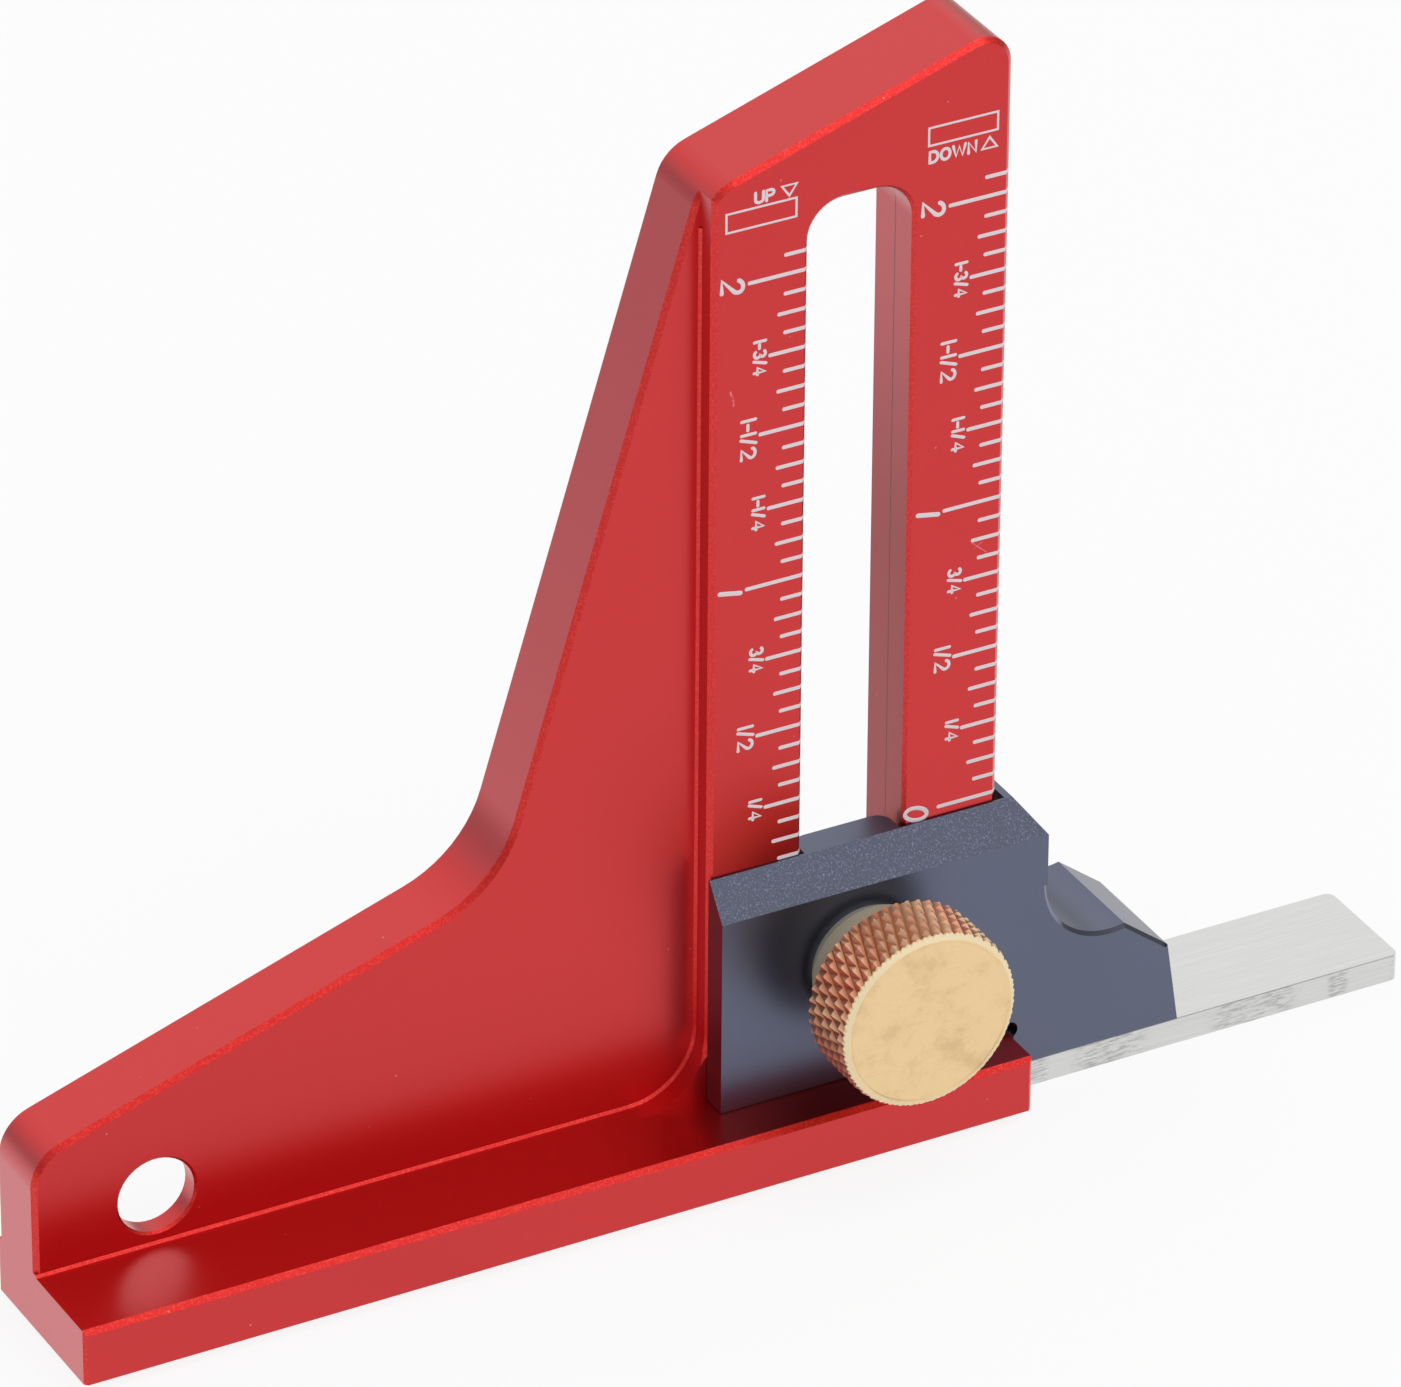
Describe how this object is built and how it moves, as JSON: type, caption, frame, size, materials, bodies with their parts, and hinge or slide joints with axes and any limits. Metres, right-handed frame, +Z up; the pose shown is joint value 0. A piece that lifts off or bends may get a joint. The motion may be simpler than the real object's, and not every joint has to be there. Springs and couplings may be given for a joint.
{
  "type": "table saw height gauge",
  "caption": "Standing height gauge: an L-shaped base with a slotted column, and a clamped slider whose arm carries a flat measuring bar.",
  "frame": {"origin": "middle of the base's underside, the flat face that the gauge stands on", "axes": "+X along the base from its low end towards the measuring bar, +Y from the marked front to the flat back, +Z up the column"},
  "size_m": [0.1139, 0.0202, 0.0892],
  "materials": {
    "anodised_red": "satin red anodised",
    "anodised_grey": "satin dark grey anodised",
    "bar_metal": "brushed along its length",
    "screw_steel": "plain",
    "knob_brass": "turned face and diamond knurl",
    "stud_steel": "plain",
    "washer_steel": "plain",
    "nut_brass": "plain machined"
  },
  "bodies": {
    "frame": {"body": "anodised_red"},
    "carriage": {"slider": "anodised_grey", "measuring_bar": "bar_metal", "bar_screws": "screw_steel", "clamp_washer": "washer_steel"},
    "knob": {"clamp_knob": "knob_brass", "clamp_stud": "stud_steel"},
    "nut": {"clamp_nut": "nut_brass"}
  },
  "joints": [
    {"name": "slider_height", "type": "slide", "parent": "frame", "child": "carriage", "axis": [0, 0, 1], "range_m": [0, 0.052]},
    {"name": "knob_turn", "type": "hinge", "parent": "carriage", "child": "knob", "pos_m": [0.02718, -0.00715, 0.01489], "axis": [0, -1, 0], "range_deg": [0, 270]},
    {"name": "nut_slide", "type": "slide", "parent": "carriage", "child": "nut", "axis": [0, 1, 0], "range_m": [0, 0.0006]}
  ],
  "couplings": [
    {"joint": "nut_slide", "follows": "knob_turn", "m_per_rad": 0.0001273}
  ]
}
